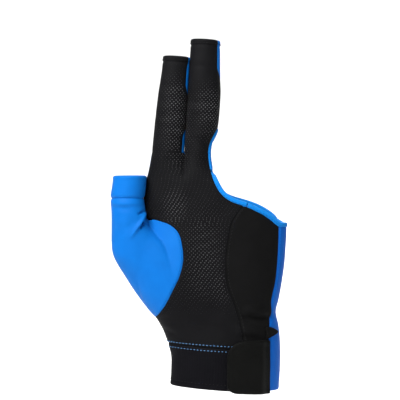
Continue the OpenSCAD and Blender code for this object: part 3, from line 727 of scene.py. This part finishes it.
BLUE_LOW, BLUE_HIGH = (0.001, 0.105, 0.42), (0.003, 0.165, 0.58)
MATERIALS = {
    "dotted_knit": knit("dotted_knit", (0.0022, 0.0022, 0.0027), (0.0070, 0.0070, 0.0080), 0.62, 0.5, 0.45,
                        sheen=0.015),
    "plain_knit": knit("plain_knit", (0.0025, 0.0025, 0.0026), (0.0055, 0.0055, 0.0057), 0.45, 0.4, 0.25,
                       0.7, 0.01),
    "hem_knit": knit("hem_knit", (0.0025, 0.0025, 0.003), (0.0065, 0.0065, 0.0075), 0.5, 0.42, 0.35,
                     sheen=0.015),
    "cuff_elastic": knit("cuff_elastic", (0.0016, 0.0016, 0.0026), (0.004, 0.0038, 0.0056), 0.4, 0.5, 0.25,
                         0.6, 0.01, ribs=0.35),
    "blue_knit": knit("blue_knit", BLUE_LOW, BLUE_HIGH, 0.42, 0.36, 0.2, 0.55, 0.02, (0.5, 0.75, 1.0), 0.08),
    "blue_binding": knit("blue_binding", (0.003, 0.15, 0.50), (0.008, 0.24, 0.72), 0.5, 0.35, 0.4, 0.5, 0.03,
                         (0.6, 0.8, 1.0)),
    "blue_thread": thread("blue_thread", (0.05, 0.20, 0.50), (0.20, 0.42, 0.74)),
    "tab_fabric": knit("tab_fabric", (0.0022, 0.0023, 0.0021), (0.005, 0.0052, 0.0048), 0.7, 0.7, 0.2,
                       0.6, 0.01),
    "loop_pile": pile("loop_pile", (0.006, 0.006, 0.007), (0.022, 0.022, 0.024), 1.6),
    "hook_tape": pile("hook_tape", (0.008, 0.008, 0.009), (0.035, 0.035, 0.038), 1.1),
}
DOTS = grip_rubber("grip_dots")
BLACK_THREAD = thread("black_thread", (0.003, 0.003, 0.0034), (0.008, 0.008, 0.009))
# Painted shade: a darker copy of the blue knit, for the side strip that faces away from the key lamp; its
# knit is the same blue.
STRIP_PAINTED_SHADE = knit("strip_knit_painted_shade", (0.001, 0.075, 0.38), (0.003, 0.12, 0.52), 0.42, 0.36, 0.2, 0.55, 0.02,
                  (0.5, 0.75, 1.0), 0.08)
BLUE_SEAM_THREAD = thread("blue_seam_thread", (0.001, 0.10, 0.42), (0.003, 0.15, 0.55))


def dress(o, slot, nodes=(), material=None):
    """Gives a piece its material, from its slot unless another is given, and hides the CAD parts that it
    stands for.
    """
    o.data.materials.append(material or MATERIALS[slot])
    if nodes:
        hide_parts(*nodes)
    return o


LEAST_WIDTH, LEAST_SHARE = 0.0101, 0.31  # least width taken for a sheet, and least share of width x length for its area


def cloth(o):
    """Works out a sheet of knit's flat size and area. Its flat size is its widest row by its longest column
    on the skin, which is more than the cut's length where an edge is curved. The index tip's gusset and both
    of the middle stall's are narrower than LEAST_WIDTH (9.4 and 3.8 mm) and are declared that wide. The area
    is held between LEAST_SHARE and all of width x length, which caps the thumb hem's (8.70 for 8.745 cm2)."""
    width, length, area = SIZES[o.name]
    flat = (round(max(width, LEAST_WIDTH), 4), round(length, 4))
    area = min(max(area, LEAST_SHARE * flat[0] * flat[1]), flat[0] * flat[1])


def on(body):
    return lambda o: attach(o, body)


# ---- the hand's panels
PITCH = 1.0
FRONT_TOP = ROOT_Z - 1.0
SEAM = CUFF_TOP + 0.2


def root_line_x(z):
    return THUMB_X + (z - THUMB_ROOT_Z) / math.tan(THUMB_LEAN)


def thenar_side(z):
    return np.where((z > THENAR_FOOT) & (z < ROOT_HIGH), palm_angle(curve(THENAR_LINE, z), z), 180.0)


def back_thumb_side(z):
    """The back panel's edge: the thumb edge, but the thumb's root line where that cuts in."""
    root = back_angle(np.minimum(root_line_x(z), curve(PALM_EDGE, z)), z)
    return np.where((z > ROOT_LOW) & (z < ROOT_HIGH), root, 180.0)


def palm_end(z):
    """The palm panel's edge on the little-finger side: the side seam, then the cutout."""
    return np.where(z < NOTCH_Z, side_seam(z), palm_cut(z))


def palm_cut(z):
    return palm_angle(curve(CUTOUT_LINE, z), z)


def back_cut(z):
    cut = back_angle(curve(CUTOUT_LINE, z - DORSAL_LIFT * (1 - ramp(z, 106, 118))), z)
    return np.where(z < CUTOUT_LOW + DORSAL_LIFT, STRIP_BACK, np.maximum(STRIP_BACK, cut))


def side_rise(a):
    """How far the cutout's edge rises round the side, at angle a past the little-finger edge."""
    return 4 * ramp(a, 10, 40)


def side_seam(z):
    return palm_angle(curve(SIDE_LINE, z), z)


def strip_seam(z):
    return palm_angle(curve(STRIP_LINE, z), z)


def hand_panels():
    rows = np.concatenate([spaced(SEAM, 94, PITCH), spaced(94.4, 103, 0.4), spaced(103.8, FRONT_TOP, PITCH)])
    made = {}
    a, s = grid(rows, thenar_side, palm_end, PITCH)
    made["palm_panel"] = panel("palm_panel", "hand", a, s, sewn="lrb", cut="t")
    a, s = grid(spaced(SEAM, NOTCH_Z - 0.3, PITCH), side_seam,
                lambda z: np.where(z < CUTOUT_LOW, strip_seam(z), palm_cut(z)), PITCH)
    made["side_panel"] = panel("side_panel", "hand", a, s, sewn="lrb")
    rows = np.concatenate([spaced(42.5, 86, PITCH), spaced(86.6, 100.9, 0.5)])
    a, s = grid(rows, lambda z: np.where(z > ROOT_LOW, palm_angle(root_line_x(z), z), 180.0),
                lambda z: np.maximum(thenar_side(z), 180.6), 0.7)
    made["thenar_panel"] = panel("thenar_panel", "hand", a, s, sewn="r", roll=0.4)
    rows = np.concatenate([spaced(SEAM, 86, PITCH), spaced(86.5, 103, 0.5), spaced(104, FRONT_TOP, PITCH)])
    a, s = grid(rows, back_cut, back_thumb_side, PITCH)
    made["back_panel"] = panel("back_panel", "hand", a, s, sewn="lb", cut="t")
    a, s = grid(spaced(0.6, CUTOUT_LOW, PITCH), strip_seam, lambda z: 360.0 + STRIP_BACK, 0.9)
    s = s + side_rise(a - 360) * ramp(s, 85, CUTOUT_LOW)
    made["side_strip"] = panel("side_strip", "hand", a, s, sewn="lr", rolled="b")
    return made


PANELS = hand_panels()
for name, slot in (("palm_panel", "dotted_knit"), ("side_panel", "plain_knit"), ("thenar_panel", "blue_knit"),
                   ("back_panel", "blue_knit")):
    on(HAND)(dress(PANELS[name], slot, [name]))
# The side strip gets the darker copy of the blue knit as painted shade.
on(HAND)(dress(PANELS["side_strip"], "blue_knit", ["side_strip"], STRIP_PAINTED_SHADE))

palm_dots = grip_dots("palm_grip_dots", "hand", 46, FRONT_TOP - 0.6, thenar_side, palm_end)
on(HAND)(dress(palm_dots, "dotted_knit", material=DOTS))


# ---- cuff
def slit_angle(z):
    return palm_angle(curve(STRIP_LINE, 14) - SLIT_GAP, z)


a, s = grid(spaced(0, CUFF_TOP, 0.8), lambda z: STRIP_BACK + 0.0 * z, slit_angle, PITCH)
cuff = panel("cuff_band", "hand", a, s, off=0.25, t=1.5, sewn="t", rolled="bl", roll=0.3)
on(HAND)(dress(cuff, "cuff_elastic", ["cuff_band"]))


def ring_path(z, end):
    """A path round the back and the palm side at height z, from beside the side strip to angle end."""
    a = np.linspace(STRIP_BACK + 2.0, float(end), 160)
    return path_on("hand", a, np.full(160, float(z)), 0.8, 0.3)


COVER_STITCH = (2.1, 1.1, 0.18)
rows_of_stitches = [ring_path(z, palm_angle(x_end, z))
                    for z, x_end in ((CUFF_TOP + 1.7, 20.0), (CUFF_TOP - 1.4, 2.0))]
cover = stitches("cuff_cover_stitches", rows_of_stitches, *COVER_STITCH)
on(HAND)(dress(cover, "blue_thread", ["cuff_stitching"]))
CUFF_HEM_Z = 3.2
cuff_hem = stitches("cuff_hem_stitching", [ring_path(CUFF_HEM_Z, slit_angle(CUFF_HEM_Z))], 2.2, 1.5, 0.2)
on(HAND)(dress(cuff_hem, "cuff_elastic", material=BLACK_THREAD))

# ---- cutout binding
BIND_W, BIND_T = 2.8, 1.7
SHIFT = BIND_W / 2 - 0.4


def bound_edge(name, skin, a, s, nodes, ride, shift):
    """A binding tape on an edge, with its row of stitches."""
    p, n = path_on(skin, a, s, 0.45, -FABRIC_T / 2, shift)
    strip = dress(tape(name + "_tape", p, n, BIND_W, BIND_T), "blue_binding", nodes)
    ride(strip)
    inner = np.sign(shift) * (-BIND_W * 0.28)
    _, side, up = frames_along(p, n)
    row = stitches(name + "_stitching", [(p + side * inner + up * (BIND_T / 2 + 0.02), n)], 2.1, 1.4, 0.17)
    ride(dress(row, "blue_binding", material=BLUE_SEAM_THREAD))
    return strip


z = spaced(NOTCH_Z + 0.2, FRONT_TOP, 1.0)
bound_edge("palm_binding", "hand", palm_cut(z), z, ["palm_binding"], on(HAND), SHIFT)
front = spaced(NOTCH_Z - 0.1, CUTOUT_LOW + 0.3, 0.8)
turn = np.linspace(-25, STRIP_BACK - 2, 40)
back = spaced(CUTOUT_LOW + side_rise(STRIP_BACK) + 1.0, FRONT_TOP, 1.0)
a = smoothed(np.concatenate([palm_cut(front), 360 + turn, 360 + back_cut(back)]))
s = smoothed(np.concatenate([front, CUTOUT_LOW + side_rise(turn), back]))
bound_edge("side_binding", "hand", a, s, ["side_binding"], on(HAND), -SHIFT)

# ---- seams of the hand
SEAM_STITCH = (1.9, 1.35, 0.17)


def seam_rows(edge, low, high, away=1.1):
    """Two rows of stitches, one on each side of a seam."""
    z = spaced(low, high, 1.0)
    return [path_on("hand", edge(z), z, 0.7, 0.02, side) for side in (-away, away)]


rows = seam_rows(thenar_side, 44, 100)
on(HAND)(dress(stitches("thenar_seam_stitches", rows[1:], *SEAM_STITCH), "blue_thread", ["thenar_seam"],
               BLACK_THREAD))
on(HAND)(dress(stitches("thenar_seam_blue", rows[:1], *SEAM_STITCH), "blue_thread",
               material=BLUE_SEAM_THREAD))
rows = seam_rows(side_seam, 30, NOTCH_Z - 2)
on(HAND)(dress(stitches("palm_side_seam_stitches", rows, *SEAM_STITCH), "plain_knit", ["palm_side_seam"],
               BLACK_THREAD))
rows = seam_rows(strip_seam, 33, CUTOUT_LOW - 2)
on(HAND)(dress(stitches("strip_seam", rows[1:], *SEAM_STITCH), "blue_knit", material=BLUE_SEAM_THREAD))


# ---- wrist closure
PATCH_PITCH = 0.7


def patch(x0, x1, low, high):
    """Angles and heights of a patch on the palm side between x0 and x1."""
    x = spaced(x0, x1, PATCH_PITCH)[None, :]
    lo, hi = low(x), high(x)
    v = np.linspace(0, 1, max(int((hi - lo).max() / PATCH_PITCH), 3) + 1)[:, None]
    s = mix(lo, hi, v)
    return palm_angle(np.broadcast_to(x, s.shape), s), s


TAB_X = float(curve(STRIP_LINE, 14))
LOOP_T, HOOK_T, TAB_T, HOOK_OFF = 0.8, 0.8, 1.1, 2.1
TAB_OFF = HOOK_OFF + 0.05 + TAB_T


def rounding(u, r):
    """Quarter of an ellipse that rounds a corner of the tab."""
    return np.sqrt(1 - (1 - np.clip(u / r, 0, 1)) ** 2)


def tab_high(x):
    u = x - TAB_X + TAB_LEN
    return 18.5 + 10.5 * rounding(u, 11) + ramp(u, 8, TAB_LEN)


def tab_low(x):
    return 3.5 - 4.5 * rounding(x - TAB_X + TAB_LEN, 6)


def flat_line(value):
    return lambda x: np.full(x.shape, float(value))


def tab_fold(o):
    """Bakes the tab's placement into its mesh; its soft bend where it is sewn into the side seam comes from
    tab_off.
    """
    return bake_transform(o)


def tab_off(x):
    return mix(TAB_OFF, 0.75, ramp(x, TAB_X - 6, TAB_X - 0.4))


x = np.concatenate([TAB_X - TAB_LEN + 12 * spaced(0, 1, 0.05) ** 2,
                    spaced(TAB_X - TAB_LEN + 12.7, TAB_X + 0.7, 0.7)])
v = spaced(0, 1, 0.025)[:, None]
s = mix(tab_low(x)[None, :], tab_high(x)[None, :], v)
x = np.broadcast_to(x, s.shape)
tab = panel("closure_tab", "hand", palm_angle(x, s), s, off=tab_off(x), t=TAB_T, rolled="lbt")
tab_fold(dress(tab, "tab_fabric", ["closure_tab"]))
a, s = patch(TAB_X - TAB_LEN + 2, TAB_X - 8, flat_line(4.4), flat_line(CUFF_TOP - 3.4))
hook = panel("hook_patch", "hand", a, s, off=HOOK_OFF, t=HOOK_T, rolled="lrbt")
on(TAB)(dress(hook, "hook_tape", ["hook_patch"]))
a, s = patch(TAB_X - TAB_LEN + 1.6, TAB_X - SLIT_GAP - 0.4, flat_line(3.4), flat_line(CUFF_TOP - 2.2))
loops = panel("loop_patch", "hand", a, s, off=LOOP_T + 0.3, t=LOOP_T, rolled="lrbt")
on(HAND)(dress(loops, "loop_pile", ["loop_patch"]))
z = spaced(1.5, 28.5, 0.7)
edge = spaced(TAB_X - TAB_LEN + 2.4, TAB_X - 6.2, 0.7)
rows = [path_on("hand", palm_angle(TAB_X - 2.0, z), z, 0.7, float(tab_off(TAB_X - 2.0)) + 0.06),
        path_on("hand", palm_angle(edge, tab_high(edge) - 1.4), tab_high(edge) - 1.4, 0.7, TAB_OFF + 0.05),
        path_on("hand", palm_angle(edge, tab_low(edge) + 1.4), tab_low(edge) + 1.4, 0.7, TAB_OFF + 0.05)]
tab_fold(dress(stitches("tab_stitches", rows, 2.2, 1.6, 0.16), "tab_fabric", ["tab_stitching"], BLACK_THREAD))
z = spaced(31.2, 37.8, 0.35)
u = np.linspace(0, 1, 16)[None, :]
x = mix(23.4, 24.2 + 6.4 * (1 - (np.abs(z - 34.8) / 3.7) ** 1.5)[:, None], u)
flap = panel("slit_flap", "hand", palm_angle(x, np.broadcast_to(z[:, None], x.shape)),
             np.broadcast_to(z[:, None], x.shape).copy(), off=0.95, t=0.8, rolled="rbt")
on(HAND)(dress(flap, "plain_knit", ["slit_flap"]))


# ---- stalls
def sliver(s):
    """Half angle over which the gusset shows on the palm side, along the stall."""
    return 34 * (1 - ramp(s, 8, 16)) + 40 * ramp(s, 30, 40) * (1 - 0.4 * ramp(s, 48, 58)) - 7


def back_wrap(s):
    return 33 * ramp(s, 43, 51)


def notch_angle(s):
    return 35 * np.sqrt(np.maximum(1 - (np.maximum(s, 0) / NOTCH_END) ** 2, 0))


SEAMS = {
    "index": {"palm_side": (lambda s: 180.0 + 0 * s, lambda s: 360 - sliver(s)),
              "gusset": (lambda s: 360 - sliver(s), lambda s: 360.0 + GUSSET_BACK + 0 * s),
              "back": (lambda s: GUSSET_BACK + 0.0 * s, lambda s: 180.0 + 0 * s)},
    "middle": {"palm_side": (lambda s: MIDDLE_WRAP + 0 * s,
                             lambda s: 360 - np.maximum(back_wrap(s), notch_angle(s))),
               "gusset": (lambda s: 180.0 - GUSSET_BACK + 0 * s, lambda s: MIDDLE_WRAP + 0 * s),
               "back": (lambda s: np.where(s > NOTCH_END, -back_wrap(s) * ramp(s, NOTCH_END, NOTCH_END + 2),
                                           notch_angle(s)), lambda s: 180.0 - GUSSET_BACK + 0 * s)},
}


def root_bend():
    def go(o):
        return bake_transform(o)
    return go


def knuckle_bend():
    def go(o):
        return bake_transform(o)
    return go


def stall_grid(finger, part, low, high):
    """Angles and distances of one length of a stall's panel; low None starts it at the hand."""
    start, end = SEAMS[finger][part]
    s = spaced(0 if low is None else low, high, 0.8)
    a, _ = grid(s, start, end, 0.8, finger)
    s = np.repeat(s[:, None], a.shape[1], 1)
    if low is None:
        first = stall_start(finger, a[0])[None, :]
        s = first + (high - first) * (s / high)
        a = mix(start(s[:, 0])[:, None], end(s[:, 0])[:, None], np.linspace(0, 1, a.shape[1])[None, :])
    return a, s


def stall(finger):
    shape = STALLS[finger]
    end, split = shape["len"] - HEM_W, shape["split"]
    slots = {"palm_side": "dotted_knit", "back": "blue_knit", "gusset": "blue_knit"}
    for length, low, high, ride in (("root", None, split, root_bend()),
                                    ("tip", split, end, knuckle_bend())):
        made = {}
        for part, slot in slots.items():
            name = f"{finger}_{length}_{part}"
            a, s = stall_grid(finger, part, low, high)
            made[part] = panel(name, finger, a, s, sewn="lr" + ("t" if length == "tip" else ""),
                               cut="bt" if length == "root" else "b", roll=0.35)
            ride(dress(made[part], slot, [name]))
        start, stop = SEAMS[finger]["palm_side"]
        top = high if length == "root" else shape["dots"]
        foot = -2.2 if low is None else low
        dots = grip_dots(f"{finger}_{length}_grip_dots", finger, foot, top, start, stop,
                         3.0, (lambda a: stall_start(finger, a)) if low is None else None)
        ride(dress(dots, "dotted_knit", material=DOTS))
        for sheet in made.values():
            cloth(sheet)
    start, stop = (float(edge(np.array(end))) for edge in SEAMS[finger]["palm_side"])
    for name, nodes, knitted, a0, a1 in ((f"{finger}_hem", [f"{finger}_hem"], "dotted_knit", start, stop),
                                         (f"{finger}_hem_back", [], "blue_knit", stop, 360 + start)):
        a = np.linspace(a0, a1, 33)[None, :]
        s = spaced(end, shape["len"], 0.5)[:, None]
        a, s = np.broadcast_arrays(a, s)
        hem = panel(name, finger, a.copy(), s.copy(), off=0.04, t=1.1, rolled="t", sewn="lr", roll=0.25)
        on(finger + "_tip")(dress(hem, "hem_knit", nodes, MATERIALS[knitted]))
    row = path_on(finger, np.linspace(0, 360, 120), np.full(120, end + 0.8), 0.6, 0.3)
    on(finger + "_tip")(dress(stitches(f"{finger}_hem_stitching", [row], 1.8, 1.25, 0.15), "hem_knit",
                              material=BLACK_THREAD))


stall("index")
stall("middle")

across = np.linspace(-1, 1, 14)
saddle = np.stack([FORK_X + 0 * across, STALL_Y + 2.9 * across, ROOT_Z - 0.5 - 1.3 * across ** 2], -1)
crotch = tape("finger_crotch_gusset", saddle, np.broadcast_to([0.0, 0.0, 1.0], saddle.shape), 2.6, 0.9)
on(HAND)(dress(crotch, "blue_knit"))

rise = np.linspace(-0.2, NOTCH_END - 0.35, 20)
a = np.concatenate([360 - notch_angle(rise), [360.0], 360 + notch_angle(rise[::-1])])
s = np.concatenate([rise, [NOTCH_END], rise[::-1]])
bound_edge("middle_root_binding", "middle", a, s, ["middle_root_binding"], root_bend(), SHIFT)


# ---- thumb stall
THUMB_SPAN = THUMB_TOP - THUMB_ROOT_Z


def thumb_bend(o):
    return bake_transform(o)


def hem_share(a):
    """Share of the stall's length at which the level hem line lies, at angle a."""
    root = THUMB_ROOT_Z + THUMB_HALF * np.cos(np.radians(a)) * math.tan(THUMB_LEAN)
    return (THUMB_HEM_Z - root) / (THUMB_TOP - root)


for name, a0, a1 in (("thumb_palm_side", 180.0, 360.0), ("thumb_back", 0.0, 180.0)):
    a = np.linspace(a0, a1, 62)[None, :]
    v = np.linspace(0, 1, 42)[:, None] * hem_share(a)
    a, v = np.broadcast_arrays(a, v)
    half = panel(name, "thumb", a.copy(), v.copy(), sewn="t", cut="b", roll=0.6)
    thumb_bend(dress(half, "blue_knit", [name]))
    cloth(half)
a = np.linspace(0, 360, 97)[None, :]
v = mix(hem_share(a), 1.0, np.linspace(0, 1, 22)[:, None])
a, v = np.broadcast_arrays(a, v)
thumb_hem = panel("thumb_hem", "thumb", a.copy(), v.copy(), off=0.3, t=1.5, rolled="t", sewn="b", roll=0.7)
on(THUMB)(dress(thumb_hem, "blue_knit", ["thumb_hem"]))
cloth(thumb_hem)

for name in ("palm_panel", "side_panel", "thenar_panel", "back_panel", "side_strip"):
    cloth(PANELS[name])
cloth(cuff)
cloth(tab)


# ---- floor, light and camera
def stage():
    floor = bpy.data.meshes.new("floor")
    y = np.concatenate([[-3.0, 0.8], 0.8 + 0.8 * np.sin(np.linspace(0.2, math.pi / 2, 10)), [1.6]])
    z = np.concatenate([[0, 0], 0.8 - 0.8 * np.cos(np.linspace(0.2, math.pi / 2, 10)), [4]]) - 0.04
    points = [(x, float(b), float(c)) for b, c in zip(y, z) for x in (-3.0, 3.0)]
    faces = [(2 * i, 2 * i + 1, 2 * i + 3, 2 * i + 2) for i in range(len(y) - 1)]
    floor.from_pydata(points, [], faces)
    floor.polygons.foreach_set("use_smooth", [True] * len(faces))
    o = bpy.data.objects.new("floor", floor)
    bpy.context.scene.collection.objects.link(o)
    m, shader = nodes_of("pale_floor")
    shader.inputs["Base Color"].default_value = (0.9, 0.9, 0.9, 1)
    shader.inputs["Roughness"].default_value = 0.9
    floor.materials.append(m)


def lamp(name, place, size, power, aim=(-0.015, 0, 0.11)):
    light = bpy.data.lights.new(name, "AREA")
    light.size, light.energy = size, power
    o = bpy.data.objects.new(name, light)
    o.location = place
    to = np.array(aim) - np.array(place)
    o.rotation_mode = "QUATERNION"
    o.rotation_quaternion = Vector(to).to_track_quat("-Z", "Y")
    bpy.context.scene.collection.objects.link(o)


def camera():
    data = bpy.data.cameras.new("camera")
    data.sensor_width, data.lens = 36, 120
    o = bpy.data.objects.new("camera", data)
    o.location = (-0.0153, -0.8, 0.1128)
    o.rotation_euler = (math.pi / 2, 0, 0)
    bpy.context.scene.collection.objects.link(o)
    bpy.context.scene.camera = o


def world():
    w = bpy.data.worlds.new("studio")
    w.use_nodes = True
    w.node_tree.nodes["Background"].inputs["Color"].default_value = (1, 1, 1, 1)
    w.node_tree.nodes["Background"].inputs["Strength"].default_value = 0.25
    bpy.context.scene.world = w


stage()
lamp("key", (-0.24, -0.34, 0.46), 0.3, 4.6, (-0.03, 0, 0.17))
lamp("fill", (0.5, -0.9, 0.6), 0.8, 1.0)
lamp("back_light", (0.3, 0.9, 0.8), 0.8, 9)
lamp("backdrop_light", (0.0, 0.35, 1.1), 0.9, 16, (0, 1.6, 0.3))
camera()
world()
bpy.context.scene.view_settings.view_transform = "Standard"
